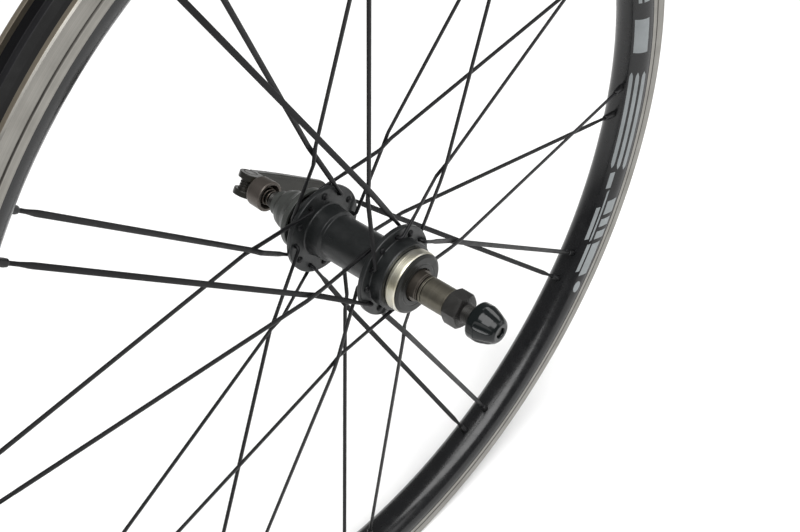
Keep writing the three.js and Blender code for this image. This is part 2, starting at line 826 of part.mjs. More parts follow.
/** Lever: two eccentric ears on the cross pin and a curved blade with a hollow inner side. */
function lever() {
  const camCentre = CAM_PIN_Y - CAM_OFFSET;
  const ears = [];
  for (const side of [-1, 1]) {
    const from = leverPoint(0, side * EAR_INNER, camCentre);
    const to = leverPoint(0, side * EAR_OUTER, camCentre);
    ears.push(bar(from, to, CAM_R, 24));
  }
  const blade = leverPlate(bladeOutline(5.2, LEVER_LENGTH, 0, 0), -EAR_OUTER, EAR_OUTER);
  const tip = LEVER_LENGTH - 8;
  const envelope = bar(leverPoint(tip, 0, 60), leverPoint(tip, 0, 130), 7.2, 20);
  const strip = leverPlate([[-12, 60], [tip, 60], [tip, 130], [-12, 130]], -8, 8);
  const pinHole = bar(
    leverPoint(0, -10, CAM_PIN_Y),
    leverPoint(0, 10, CAM_PIN_Y),
    CAM_PIN_R + GAP,
    16,
  );
  const slot = leverPlate([[-12, 80], [7.2, 80], [7.2, 115], [-12, 115]], -EAR_INNER, EAR_INNER);
  const hollow = leverPlate(bladeOutline(15, LEVER_LENGTH - 2.5, -3, 1.9), -5.2, 5.2);
  return wasm.Manifold.union([...ears, blade])
    .intersect(strip.add(envelope))
    .subtract(pinHole)
    .subtract(slot)
    .subtract(hollow);
}

addPart("lever", lever(), LEVER_ALLOY);

export default wheel;
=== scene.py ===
import json
import math

import bmesh
import bpy
import numpy as np
from mathutils import Matrix, Vector


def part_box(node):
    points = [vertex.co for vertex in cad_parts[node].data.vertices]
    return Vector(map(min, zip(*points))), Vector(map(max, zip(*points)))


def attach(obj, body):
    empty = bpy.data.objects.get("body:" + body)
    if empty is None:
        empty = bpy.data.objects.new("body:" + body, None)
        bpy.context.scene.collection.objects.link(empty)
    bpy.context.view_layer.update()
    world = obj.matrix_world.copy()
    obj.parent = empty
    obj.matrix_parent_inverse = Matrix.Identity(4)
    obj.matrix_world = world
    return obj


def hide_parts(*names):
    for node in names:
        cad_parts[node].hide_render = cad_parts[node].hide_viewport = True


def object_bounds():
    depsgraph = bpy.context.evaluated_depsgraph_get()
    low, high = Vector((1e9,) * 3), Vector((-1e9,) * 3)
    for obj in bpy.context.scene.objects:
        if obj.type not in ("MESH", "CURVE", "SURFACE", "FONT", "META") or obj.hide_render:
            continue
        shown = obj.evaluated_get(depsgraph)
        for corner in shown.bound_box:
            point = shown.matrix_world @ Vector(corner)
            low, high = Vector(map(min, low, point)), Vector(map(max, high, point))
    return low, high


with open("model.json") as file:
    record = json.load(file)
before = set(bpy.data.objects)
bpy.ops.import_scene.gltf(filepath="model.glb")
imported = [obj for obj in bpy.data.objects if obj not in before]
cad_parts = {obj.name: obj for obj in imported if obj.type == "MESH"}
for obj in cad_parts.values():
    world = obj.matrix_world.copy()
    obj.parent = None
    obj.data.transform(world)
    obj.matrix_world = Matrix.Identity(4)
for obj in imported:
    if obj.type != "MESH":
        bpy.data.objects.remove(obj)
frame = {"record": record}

# Looks of a quick-release rear wheel. Shapes are made in millimetres, in the frame of the
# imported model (hub axis Y, drive side at -Y, +Z up), and stored in metres.
MM = 0.001
CAD_BOX = [list(corner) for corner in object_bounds()]
BODIES = {n: body for body, ns in frame["record"]["behaviour"]["bodies"].items() for n in ns}


def extent(node, axis):
    """Lowest and highest coordinate of a CAD node along an axis, in millimetres."""
    low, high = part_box(node)
    return low[axis] / MM, high[axis] / MM


# Rim
RIM_OUTER_R = extent("rim", 2)[1]
RIM_HALF_WIDTH = extent("rim", 1)[1]
BEAD_SEAT_R = 253.5
CHANNEL_FLOOR_R = 250.6
BRAKE_INNER_R = 248
GROOVE_R = 252.5
SPOKE_BED_R = 236.3
FLANGE_WALL = 2.3
HOOK_WALL = 3.1
BED_WALL = 2.2
VALVE_HOLE_R = 4.3
RIM_STEPS = 360

# Spokes, in pairs: one spoke of a pair from each flange
PAIRS = 12
PAIR_STEP = 2 * math.pi / PAIRS
PAIR_PHASE = math.radians(-4)
PAIR_HALF_SPLIT = math.radians(2.5)
VALVE_ANGLE = PAIR_PHASE + 8.5 * PAIR_STEP
CROSS_STEPS = 2
CROSS_START = 40
CROSS_END = 50
CROSS_PLANE = 0.83
CROSS_OFFSET_Y = 0.85
CROSS_BEND_REACH = 3
SPOKE_R = 1.0
BLADE_HALF_WIDTH = 1.55
BLADE_HALF_THICKNESS = 0.55
ELBOW_BEND_R = 2.3
NIPPLE_R = 1.95
NIPPLE_LENGTH = 13
NIPPLE_OFFSET_Y = 0.6
SPOKE_HOLE_R = 1.25

# Hub
FLANGE_R = 25.8
FLANGE_HALF_THICKNESS = 1.5
DRIVE_FLANGE_Y = -18
LEFT_FLANGE_Y = 33.5
HOLE_CIRCLE_R = 21.5
BARREL_R = 13.1
LEFT_BOSS_R = 14.6
THREAD_R = 17.4
THREAD_PITCH = 25.4 / 24
THREAD_TURNS = 4
BEARING_BORE_R = 14.8
AXLE_R = 5
AXLE_BORE_R = 2.95
AXLE_HALF_LENGTH = extent("axle", 1)[1]
DROPOUT_Y = extent("left_end_cap", 1)[1]
BALL_R = 3.175
BALL_CIRCLE_R = 9.6
BALLS = 9
THREAD_INNER_Y = extent("freewheel_thread_ring", 1)[1]
DRIVE_BALL_Y = -28.5
LEFT_BALL_Y = 39
GAP = 0.3
SLIP = 0.1
AXLE_PITCH = 1
WASHER_R = 7.8
LOCKNUT_FLATS = 17

# Stripes and dashes painted on the nose: first and last angle in degrees, inner and outer
# share of the half nose, slant of the ends and length of the rounded ends
GRAPHIC_MARKS = [
    (5, 11, 0.3, 0.82, 0, 0),
    (14, 20.5, 0.42, 0.54, 0, 0),
    (14, 20.5, 0.62, 0.84, 0, 0),
    (-15.5, 1.5, 0.26, 0.39, 0, 1.2),
    (-15.5, 1.5, 0.48, 0.62, 0, 1.2),
    (-15.5, 1.5, 0.72, 0.88, 0, 1.2),
    (-19, -16.2, 0.34, 0.5, 0.4, 0),
    (-28.4, -22.6, 0.25, 0.38, 0.4, 0),
    (-28.4, -19.4, 0.44, 0.5, 0.4, 0),
    (-34, -29, 0.42, 0.54, 0.4, 0),
    (-34.2, -28.4, 0.6, 0.9, 0.8, 0),
    (-27.6, -26.2, 0.58, 0.92, 0.8, 0),
    (-25.4, -24, 0.58, 0.92, 0.8, 0),
    (-23.2, -20.8, 0.58, 0.92, 0.8, 0),
    (-37.4, -35.4, 0.62, 0.86, 0, 0.9),
]

# Skewer
ROD_R = 2.5
ROD_PITCH = 0.8
SPRING_WIRE_R = 0.5
NUT_OUTER_Y, NUT_INNER_Y = extent("skewer_nut", 1)
NUT_FLUTES = 6
CUP_OPEN_Y = extent("cam_cup", 1)[0]
CUP_SEAT_Y = extent("cam_bushing", 1)[1]
CAM_PIN_Y = 94.1
CAM_OFFSET = 1.2
CAM_R = 7.1
EAR_INNER = 3.3
EAR_OUTER = 6.9
CAM_PIN_R = 3.9
LEVER_ANGLE = math.radians(-32)
LEVER_LENGTH = 66.5
BLADE_ROOT_Y = 3.4
BLADE_SWEEP = 8.4
BLADE_ROOT_HALF = 2.4
BLADE_TAPER = 0.8
FORK_DEPTH = 7.2
TIP_R = 7.2
TIP_LENGTH = 8
HOLLOW_START = 15
HOLLOW_HALF_WIDTH = 5.2


# ---------------------------------------------------------------- mesh helpers


def make_object(name, vertices, faces, slots=None):
    """A mesh object from points in millimetres; slots gives a material index for each face."""
    mesh = bpy.data.meshes.new(name)
    mesh.from_pydata([tuple(v) for v in vertices], [], faces)
    if slots is not None:
        for _ in range(max(slots) + 1):
            mesh.materials.append(None)
        mesh.polygons.foreach_set("material_index", slots)
    tidy(mesh)
    made = bpy.data.objects.new(name, mesh)
    bpy.context.scene.collection.objects.link(made)
    return made


def tidy(mesh):
    """Merges doubled points, drops collapsed faces and turns all faces outwards."""
    work = bmesh.new()
    work.from_mesh(mesh)
    bmesh.ops.remove_doubles(work, verts=work.verts, dist=1e-4)
    bmesh.ops.dissolve_degenerate(work, edges=work.edges, dist=1e-5)
    bmesh.ops.recalc_face_normals(work, faces=work.faces)
    work.to_mesh(mesh)
    work.free()


def mesh_of(name, work):
    """A mesh from a finished bmesh, which is used up."""
    mesh = bpy.data.meshes.new(name)
    work.to_mesh(mesh)
    work.free()
    return mesh


def baked(made):
    """Applies the object's modifiers to its mesh."""
    graph = bpy.context.evaluated_depsgraph_get()
    mesh = bpy.data.meshes.new_from_object(made.evaluated_get(graph))
    old = made.data
    made.modifiers.clear()
    made.data = mesh
    bpy.data.meshes.remove(old)
    return made


def combine(made, tool, operation):
    """Joins, cuts or intersects an object with a tool object, which is used up."""
    step = made.modifiers.new("solid", "BOOLEAN")
    step.operation = operation
    step.solver = "EXACT"
    step.object = tool
    baked(made)
    if not made.data.polygons:
        raise RuntimeError(f"{operation} with {tool.name} left nothing of {made.name}")
    old = tool.data
    bpy.data.objects.remove(tool)
    bpy.data.meshes.remove(old)
    return made


def merged(name, objects):
    """Several objects as one mesh of separate shells."""
    work = bmesh.new()
    for made in objects:
        work.from_mesh(made.data)
        old = made.data
        bpy.data.objects.remove(made)
        bpy.data.meshes.remove(old)
    mesh = bpy.data.meshes.new(name)
    work.to_mesh(mesh)
    work.free()
    joined = bpy.data.objects.new(name, mesh)
    bpy.context.scene.collection.objects.link(joined)
    return joined


def bevelled(made, width, segments=3, angle=35):
    """Rounds the sharp edges of an object."""
    step = made.modifiers.new("edges", "BEVEL")
    step.width = width
    step.segments = segments
    step.limit_method = "ANGLE"
    step.angle_limit = math.radians(angle)
    return baked(made)


def cast(made, voxel, passes):
    """Gives an object the soft edges of a cast or moulded part."""
    step = made.modifiers.new("skin", "REMESH")
    step.mode = "VOXEL"
    step.voxel_size = voxel
    baked(made)
    step = made.modifiers.new("soften", "SMOOTH")
    step.factor = 0.5
    step.iterations = passes
    return baked(made)


def moved(made, matrix):
    """Moves the points of an object's mesh."""
    made.data.transform(matrix)
    return made


def finish_piece(made, node, materials, sharp=38, replace=True):
    """Stores a piece in metres, parents it to its body's empty and hides its CAD node, which it stands
    in for.
    """
    mesh = made.data
    mesh.transform(Matrix.Scale(MM, 4))
    while len(mesh.materials) < len(materials):
        mesh.materials.append(None)
    for index, material in enumerate(materials):
        mesh.materials[index] = material
    mesh.shade_smooth()
    mesh.set_sharp_from_angle(angle=math.radians(sharp))
    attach(made, BODIES[node])
    if replace:
        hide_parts(node)
    return made


def rounded(outline, radius, steps=4):
    """A closed outline with its corners rounded. A third value of a point is its own radius."""
    points = []
    count = len(outline)
    for i, corner in enumerate(outline):
        here = np.array(corner[:2], float)
        back = np.array(outline[i - 1][:2], float) - here
        on = np.array(outline[(i + 1) % count][:2], float) - here
        back_length = np.linalg.norm(back)
        on_length = np.linalg.norm(on)
        back = back / back_length
        on = on / on_length
        opening = math.acos(np.clip(back @ on, -1, 1))
        size = corner[2] if len(corner) > 2 else radius
        if opening > math.radians(176) or size <= 0:
            points.append(here)
            continue
        reach = min(size / math.tan(opening / 2), 0.45 * back_length, 0.45 * on_length)
        points.append(here + back * reach * 1.1)
        for k in range(steps + 1):
            t = k / steps
            start = here + back * reach
            end = here + on * reach
            points.append((1 - t) ** 2 * start + 2 * t * (1 - t) * here + t * t * end)
        points.append(here + on * reach * 1.1)
    return [(float(r), float(y)) for r, y in points]


def turned(name, outline, segments=96, radius=0.25, finish=None):
    """A part turned about the hub axis. finish(r, y) gives the material index of a face."""
    points = rounded(outline, radius) if radius else outline
    count = len(points)
    angles = [2 * math.pi * s / segments for s in range(segments)]
    vertices = [(r * math.cos(a), y, r * math.sin(a)) for a in angles for r, y in points]
    faces = []
    slots = []
    for s in range(segments):
        here = s * count
        after = ((s + 1) % segments) * count
        for k in range(count):
            j = (k + 1) % count
            faces.append((here + k, here + j, after + j, after + k))
            middle_r = (points[k][0] + points[j][0]) / 2
            middle_y = (points[k][1] + points[j][1]) / 2
            slots.append(finish(middle_r, middle_y) if finish else 0)
    return make_object(name, vertices, faces, slots)


def loft(name, rings):
    """A skin through rings of points with a cap at each end."""
    count = len(rings[0])
    vertices = [p for points in rings for p in points]
    faces = []
    for i in range(len(rings) - 1):
        for k in range(count):
            a = i * count + k
            b = i * count + (k + 1) % count
            faces.append((a, b, b + count, a + count))
    faces.append(tuple(range(count)))
    last = (len(rings) - 1) * count
    faces.append(tuple(last + k for k in reversed(range(count))))
    return make_object(name, vertices, faces)


def polar(radius, angle, y):
    """The point at a radius and angle in the plane of the wheel, at a station on the axis."""
    return Vector((radius * math.cos(angle), y, radius * math.sin(angle)))


def bar(name, start, end, radius, segments=24, end_radius=None):
    """A round bar from one point to another, which may taper."""
    along = (end - start).normalized()
    side = along.orthogonal().normalized()
    up = along.cross(side)
    rings = []
    for centre, size in ((start, radius), (end, end_radius or radius)):
        turn = [2 * math.pi * k / segments for k in range(segments)]
        rings.append([centre + size * (side * math.cos(a) + up * math.sin(a)) for a in turn])
    return loft(name, rings)


def swept(name, centres, radius, sides=12):
    """Wire of a round section through a list of points."""
    rings = []
    count = len(centres)
    side = None
    for i, centre in enumerate(centres):
        tangent = (centres[min(i + 1, count - 1)] - centres[max(i - 1, 0)]).normalized()
        if side is None:
            side = tangent.orthogonal()
        side = (side - tangent * side.dot(tangent)).normalized()
        up = tangent.cross(side)
        turn = [2 * math.pi * k / sides for k in range(sides)]
        rings.append([centre + radius * (side * math.cos(a) + up * math.sin(a)) for a in turn])
    return loft(name, rings)


# ---------------------------------------------------------------- finishes


class Finish:
    """A procedural material built node by node."""

    def __init__(self, name, metallic=0.0, **sockets):
        self.material = bpy.data.materials.new(name)
        self.material.use_nodes = True
        self.nodes = self.material.node_tree.nodes
        self.links = self.material.node_tree.links
        self.nodes.clear()
        self.shader = self.nodes.new("ShaderNodeBsdfPrincipled")
        output = self.nodes.new("ShaderNodeOutputMaterial")
        self.links.new(self.shader.outputs["BSDF"], output.inputs["Surface"])
        self.shader.inputs["Metallic"].default_value = metallic
        for socket, value in sockets.items():
            self.shader.inputs[socket.replace("_", " ")].default_value = value
        self.place = self.nodes.new("ShaderNodeTexCoord").outputs["Object"]

    def put(self, socket, value):
        """Sets a socket to a value, or links it to another node's output."""
        if isinstance(value, bpy.types.NodeSocket):
            self.links.new(value, socket)
        else:
            socket.default_value = value

    def math(self, operation, *values):
        node = self.nodes.new("ShaderNodeMath")
        node.operation = operation
        for socket, value in zip(node.inputs, values):
            self.put(socket, value)
        return node.outputs[0]

    def spread(self, value, low, high, start=0.0, end=1.0):
        """Maps a value from one range to another."""
        node = self.nodes.new("ShaderNodeMapRange")
        for name, number in zip(
            ("Value", "From Min", "From Max", "To Min", "To Max"), (value, start, end, low, high)
        ):
            self.put(node.inputs[name], number)
        return node.outputs[0]

    def mix(self, factor, first, second):
        node = self.nodes.new("ShaderNodeMix")
        node.data_type = "RGBA"
        self.put(node.inputs[0], factor)
        self.put(node.inputs[6], (*first, 1) if isinstance(first, tuple) else first)
        self.put(node.inputs[7], (*second, 1) if isinstance(second, tuple) else second)
        return node.outputs[2]

    def noise(self, size_mm, detail=3.0, vector=None, rough=0.5):
        """Noise whose features are about so many millimetres across."""
        node = self.nodes.new("ShaderNodeTexNoise")
        self.put(node.inputs["Vector"], vector or self.place)
        node.inputs["Scale"].default_value = 1 / (size_mm * MM)
        node.inputs["Detail"].default_value = detail
        node.inputs["Roughness"].default_value = rough
        return node.outputs[0]

    def rings(self):
        """Coordinates that are the same all round the hub axis: radius and station."""
        split = self.nodes.new("ShaderNodeSeparateXYZ")
        self.put(split.inputs[0], self.place)
        square = self.math("ADD", self.math("POWER", split.outputs[0], 2.0),
                           self.math("POWER", split.outputs[2], 2.0))
        join = self.nodes.new("ShaderNodeCombineXYZ")
        self.put(join.inputs[0], self.math("SQRT", square))
        self.put(join.inputs[1], split.outputs[1])
        return join.outputs[0]

    def bump(self, height, strength, depth_mm, below=None):
        node = self.nodes.new("ShaderNodeBump")
        node.inputs["Strength"].default_value = strength
        node.inputs["Distance"].default_value = depth_mm * MM
        self.put(node.inputs["Height"], height)
        if below is not None:
            self.put(node.inputs["Normal"], below)
        return node.outputs[0]

    def link(self, socket, value):
        self.links.new(value, self.shader.inputs[socket])


def shade(colour, amount):
    """A colour made darker or lighter."""
    return tuple(c * amount for c in colour)


def machined(name, colour, rough, line_mm, metallic=1.0, contrast=0.18, depth=0.02, **sockets):
    """Metal turned on a lathe: fine lines round the axis, with blotches and dull patches."""
    made = Finish(name, metallic, **sockets)
    lines = made.noise(line_mm, 2.0, made.rings(), 0.7)
    blotch = made.noise(9, 4.0)
    tone = made.math("ADD", made.math("MULTIPLY", lines, 0.6), made.math("MULTIPLY", blotch, 0.4))
    low, high = shade(colour, 1 - contrast), shade(colour, 1 + contrast)
    made.link("Base Color", made.mix(made.spread(tone, 0, 1, 0.3, 0.7), low, high))
    made.link("Roughness", made.spread(made.noise(5, 5.0), rough - 0.07, rough + 0.09, 0.3, 0.7))
    fine = made.bump(made.noise(0.4, 3.0), 0.25, 0.01)
    made.link("Normal", made.bump(lines, 0.55, depth, fine))
    return made.material


def coated(name, colour, rough, grain_mm, metallic=0.0, contrast=0.2, depth=0.015, **sockets):
    """A black or grey coating: small grain, faint mottling and slight scuffs."""
    made = Finish(name, metallic, **sockets)
    mottle = made.noise(14, 4.0)
    low, high = shade(colour, 1 - contrast), shade(colour, 1 + contrast)
    base = made.mix(made.spread(mottle, 0, 1, 0.3, 0.7), low, high)
    scuffs = made.spread(made.noise(3.5, 8.0, rough=0.7), 0, 1, 0.66, 0.74)
    made.link("Base Color", made.mix(scuffs, base, shade(colour, 1.9)))
    made.link("Roughness", made.spread(made.noise(6, 5.0), rough - 0.06, rough + 0.08, 0.3, 0.7))
    made.link("Normal", made.bump(made.noise(grain_mm, 4.0), 0.5, depth))
    return made.material


def brake_metal():
    """Machined brake track: fine circular lines, worn bands and painted shade in the wear groove."""
    made = Finish("brake_track_metal", 0.85)
    ring = made.rings()
    split = made.nodes.new("ShaderNodeSeparateXYZ")
    made.put(split.inputs[0], ring)
    radius = split.outputs[0]
    lines = made.noise(0.35, 2.0, ring, 0.75)
    bands = made.noise(2.6, 2.0, ring, 0.5)
    tone = made.math("ADD", made.math("MULTIPLY", lines, 0.55), made.math("MULTIPLY", bands, 0.45))
    base = made.mix(made.spread(tone, 0, 1, 0.3, 0.7), (0.17, 0.165, 0.15), (0.27, 0.26, 0.238))
    # Painted shade: the track colour is darkened in and just beside the groove, where shade falls.
    offset = made.math("ABSOLUTE", made.math("SUBTRACT", radius, GROOVE_R * MM))
    groove = made.spread(offset, 1, 0, 0.4 * MM, 0.75 * MM)
    base = made.mix(groove, base, (0.05, 0.047, 0.042))
    grime = made.spread(made.noise(22, 5.0), 0, 0.35, 0.52, 0.75)
    made.link("Base Color", made.mix(grime, base, (0.12, 0.11, 0.092)))
    made.link("Roughness", made.spread(made.noise(8, 5.0), 0.34, 0.5, 0.3, 0.7))
    made.link("Normal", made.bump(lines, 0.6, 0.03, made.bump(made.noise(0.5, 3.0), 0.2, 0.01)))
    return made.material


def zinc_metal():
    """Bright zinc on the thread ring: fine lines, warm and cool bands."""
    made = Finish("bright_zinc", 1.0)
    ring = made.rings()
    lines = made.noise(0.9, 2.0, ring, 0.5)
    tint = made.noise(11, 2.0)
    base = made.mix(made.spread(tint, 0, 1, 0.35, 0.65), (0.56, 0.53, 0.4), (0.64, 0.63, 0.57))
    base = made.mix(made.spread(lines, 0, 0.15, 0.35, 0.65), base, (0.42, 0.39, 0.29))
    made.link("Base Color", base)
    made.link("Roughness", made.spread(made.noise(6, 4.0), 0.3, 0.42, 0.3, 0.7))
    made.link("Normal", made.bump(lines, 0.12, 0.004))
    return made.material


def spring_metal():
    """Wire with a dark drawn surface and brownish stains."""
    made = Finish("spring_wire", 0.85)
    stain = made.spread(made.noise(2.2, 5.0), 0, 1, 0.4, 0.65)
    made.link("Base Color", made.mix(stain, (0.085, 0.078, 0.07), (0.055, 0.036, 0.025)))
    made.link("Roughness", made.spread(made.noise(1.2, 4.0), 0.3, 0.5, 0.3, 0.7))
    made.link("Normal", made.bump(made.noise(0.3, 3.0), 0.3, 0.01))
    return made.material


RIM_BLACK = coated("rim_gloss_black", (0.0055, 0.0057, 0.0063), 0.24, 0.8, contrast=0.15,
                   depth=0.004, Specular_IOR_Level=0.32, Coat_Weight=0.12, Coat_Roughness=0.1)
BRAKE_TRACK = brake_metal()
RIM_LIP = machined("rim_lip_anodised", (0.15, 0.13, 0.1), 0.42, 0.5, 0.6, contrast=0.14)
RIM_CHANNEL = coated("rim_channel_black", (0.008, 0.008, 0.009), 0.5, 0.5, Specular_IOR_Level=0.25)
RIM_GRAPHIC = coated("rim_graphic_grey", (0.2, 0.215, 0.22), 0.42, 0.3, contrast=0.08,
                     Specular_IOR_Level=0.35)
STRIP_RUBBER = coated("rim_strip_rubber", (0.009, 0.009, 0.009), 0.75, 0.6, depth=0.03,
                      Specular_IOR_Level=0.2)
SPOKE_BLACK = coated("spoke_black", (0.006, 0.006, 0.0066), 0.38, 0.35, metallic=0.1,
                     Specular_IOR_Level=0.16)
NIPPLE_BLACK = coated("nipple_black", (0.006, 0.006, 0.0065), 0.3, 0.35, Specular_IOR_Level=0.3)
HUB_BLACK = machined("hub_satin_black", (0.0082, 0.0092, 0.0094), 0.34, 0.5, 0.0, contrast=0.1,
                     depth=0.008, Specular_IOR_Level=0.36)
ZINC = zinc_metal()
DULL_STEEL = machined("dull_steel", (0.125, 0.116, 0.092), 0.38, 0.35, 0.85)
DARK_STEEL = machined("dark_steel", (0.028, 0.027, 0.025), 0.36, 0.35, 0.6)
CONE_STEEL = machined("cone_steel", (0.06, 0.052, 0.043), 0.38, 0.35, 0.75)
NUT_STEEL = machined("locknut_steel", (0.044, 0.043, 0.041), 0.34, 0.5, 0.7, contrast=0.15)
BEARING_STEEL = machined("bearing_steel", (0.55, 0.55, 0.54), 0.15, 0.5, 1.0, contrast=0.05)
CAP_BLACK = machined("dust_cap_black", (0.0115, 0.012, 0.0108), 0.36, 0.6, 0.25, contrast=0.12,
                     Specular_IOR_Level=0.32)
END_CAP = machined("end_cap_grey", (0.05, 0.053, 0.049), 0.42, 0.7, 0.35, contrast=0.05,
                   depth=0.003)
SPRING = spring_metal()
NUT_GLOSS = coated("skewer_nut_gloss", (0.0036, 0.0052, 0.0054), 0.17, 0.5, contrast=0.12, depth=0.003,
                   Specular_IOR_Level=0.24, Coat_Weight=0.1, Coat_Roughness=0.06)
NYLON = coated("nylon_insert", (0.6, 0.58, 0.52), 0.5, 0.3, contrast=0.05)
CUP_STEEL = machined("cam_cup_steel", (0.085, 0.073, 0.064), 0.4, 0.6, 0.7, contrast=0.12)
PIN_STEEL = machined("cross_pin_steel", (0.045, 0.042, 0.038), 0.3, 0.6, 0.7, contrast=0.15)
LEVER_METAL = coated("lever_cast_metal", (0.021, 0.0205, 0.0175), 0.34, 0.45, metallic=0.55,
                     contrast=0.12, depth=0.014, Coat_Weight=0.15, Coat_Roughness=0.15)
BRASS = machined("cam_bushing_brass", (0.42, 0.3, 0.13), 0.36, 0.4, 1.0)


# ---------------------------------------------------------------- spokes


def spoke_list():
    """Side, flange, exit side, hole and rim angles of the 24 spokes, in the order of the nodes."""
    spokes = []
    for k in range(PAIRS):
        pair_angle = PAIR_PHASE + k * PAIR_STEP
        outside = k % 2 == 1
        lead = CROSS_STEPS if outside else -CROSS_STEPS
        for side in (-1, 1):
            spokes.append({
                "side": side,
                "flange_y": DRIVE_FLANGE_Y if side < 0 else LEFT_FLANGE_Y,
                "exit": side if outside else -side,
                "hole_angle": pair_angle + lead * PAIR_STEP,
                "rim_angle": pair_angle - side * PAIR_HALF_SPLIT,
            })
    return spokes


def spoke_line(spoke):
    """The elbow of one spoke, the bends at its crossing and the end of its nipple's head."""
    through = Vector((0, spoke["exit"], 0))
    bend_start = polar(HOLE_CIRCLE_R, spoke["hole_angle"],
                       spoke["flange_y"] + spoke["exit"] * (FLANGE_HALF_THICKNESS + 0.25))
    head_end = polar(SPOKE_BED_R + BED_WALL + 2.6, spoke["rim_angle"],
                     spoke["side"] * NIPPLE_OFFSET_Y)
    under = -1 if spoke["exit"] == spoke["side"] else 1
    cross_y = CROSS_PLANE * spoke["flange_y"] + under * spoke["side"] * CROSS_OFFSET_Y
    direct = (head_end - bend_start).normalized()
    crossing = []
    for distance in (CROSS_START, CROSS_END):
        point = bend_start + direct * distance
        point.y = cross_y
        crossing.append(point)
    bend_end = bend_start.copy()
    for _ in range(5):
        along = (crossing[0] - bend_end).normalized()
        sideways = (along - through * along.dot(through)).normalized()
        turn = math.acos(along.dot(through))
        bend_end = (bend_start + sideways * ELBOW_BEND_R * (1 - math.cos(turn))
                    + through * ELBOW_BEND_R * math.sin(turn))
    outer = (head_end - crossing[1]).normalized()
    return through, bend_start, bend_end, crossing, head_end, along, outer, sideways, turn


def section(centre, tangent, across, half_width, half_thickness, sides=14, square=2.0):
    """A ring of points: an ellipse, or with a higher power a rounded rectangle."""
    up = tangent.cross(across).normalized()
    points = []
    for i in range(sides):
        angle = 2 * math.pi * i / sides
        c, s = math.cos(angle), math.sin(angle)
        wide = half_width * math.copysign(abs(c) ** (2 / square), c)
        high = half_thickness * math.copysign(abs(s) ** (2 / square), s)
        points.append(centre + across * wide + up * high)
    return points


def eased(share):
    """A share from 0 to 1 that starts and stops gently."""
    return share * share * (3 - 2 * share)


def make_spoke(number, spoke):
    """Bladed spoke with a forged head and elbow, and the nipple screwed on its other end."""
    node = f"spoke_{number:02d}"
    (through, bend_start, bend_end, crossing, head_end, along, outer, sideways,
     turn) = spoke_line(spoke)
    across = through.cross(sideways).normalized()
    base = polar(HOLE_CIRCLE_R, spoke["hole_angle"],
                 spoke["flange_y"] - spoke["exit"] * (FLANGE_HALF_THICKNESS + 0.05))
    rings = []
    for depth, radius in ((1.15, 0.35), (1.1, 0.9), (0.9, 1.45), (0.6, 1.8), (0.25, 1.93),
                          (0.05, 1.85), (0, 1.5), (-0.3, SPOKE_R)):
        rings.append(section(base - through * depth, through, across, radius, radius))
    bends = 8
    for i in range(bends + 1):
        angle = turn * i / bends
        centre = (bend_start + sideways * ELBOW_BEND_R * (1 - math.cos(angle))
                  + through * ELBOW_BEND_R * math.sin(angle))
        tangent = through * math.cos(angle) + sideways * math.sin(angle)
        rings.append(section(centre, tangent, across, SPOKE_R, SPOKE_R))
    butt, flare, thread = 8, 8, NIPPLE_LENGTH + 4
    blade = (BLADE_HALF_WIDTH, BLADE_HALF_THICKNESS)
    for i in range(7):
        t = i / 6
        ease = eased(t)
        rings.append(section(
            bend_end + along * (butt + flare * t), along, across,
            SPOKE_R + (BLADE_HALF_WIDTH - SPOKE_R) * ease,
            SPOKE_R + (BLADE_HALF_THICKNESS - SPOKE_R) * ease))
    middle = (crossing[1] - crossing[0]).normalized()
    for corner, before, after in ((crossing[0], along, middle), (crossing[1], middle, outer)):
        for step in range(-2, 3):
            reach = CROSS_BEND_REACH * step / 2
            tangent = before.lerp(after, (step + 2) / 4).normalized()
            centre = corner + (after if reach > 0 else before) * reach
            rings.append(section(centre, tangent, across, *blade))
    length = (head_end - crossing[1]).length
    for i in range(1, 9):
        reach = CROSS_BEND_REACH + (length - thread - flare - CROSS_BEND_REACH) * i / 9
        rings.append(section(crossing[1] + outer * reach, outer, across, *blade))
    for i in range(7):
        t = i / 6
        ease = eased(t)
        rings.append(section(
            head_end - outer * (thread + flare * (1 - t)), outer, across,
            BLADE_HALF_WIDTH + (SPOKE_R - BLADE_HALF_WIDTH) * ease,
            BLADE_HALF_THICKNESS + (SPOKE_R - BLADE_HALF_THICKNESS) * ease))
    rings.append(section(head_end - outer * 2, outer, across, SPOKE_R, SPOKE_R))
    wire = loft(f"spoke_wire_{number:02d}", rings)
    finish_piece(wire, node, [SPOKE_BLACK])
    nipple = []
    for reach, size, square in (
        (NIPPLE_LENGTH, 1.15, 2), (NIPPLE_LENGTH, 1.6, 2), (NIPPLE_LENGTH - 0.35, 1.78, 2),
        (NIPPLE_LENGTH - 1.1, 1.8, 2), (NIPPLE_LENGTH - 1.6, 1.66, 5), (6, 1.66, 5),
        (5.4, NIPPLE_R, 2), (2.2, NIPPLE_R, 2), (2, 2.7, 2), (0.6, 2.7, 2), (0, 2, 2),
    ):
        nipple.append(section(head_end - outer * reach, outer, across, size, size, 20, square))
    finish_piece(loft(f"nipple_{number:02d}", nipple), node, [NIPPLE_BLACK])


SPOKES = spoke_list()
for index, one in enumerate(SPOKES):
    make_spoke(index + 1, one)


# ---------------------------------------------------------------- rim


def nose_point(t, inset=0.0):
    """Radius and station of the rim's rounded side, from t = -1 (drive side) to 1."""
    angle = t * math.pi / 2
    half_width = RIM_HALF_WIDTH - 0.2 - inset
    depth = BRAKE_INNER_R - SPOKE_BED_R - inset
    y = half_width * math.copysign(abs(math.sin(angle)) ** 0.9, t)
    return BRAKE_INNER_R - depth * math.cos(angle) ** 0.9, y


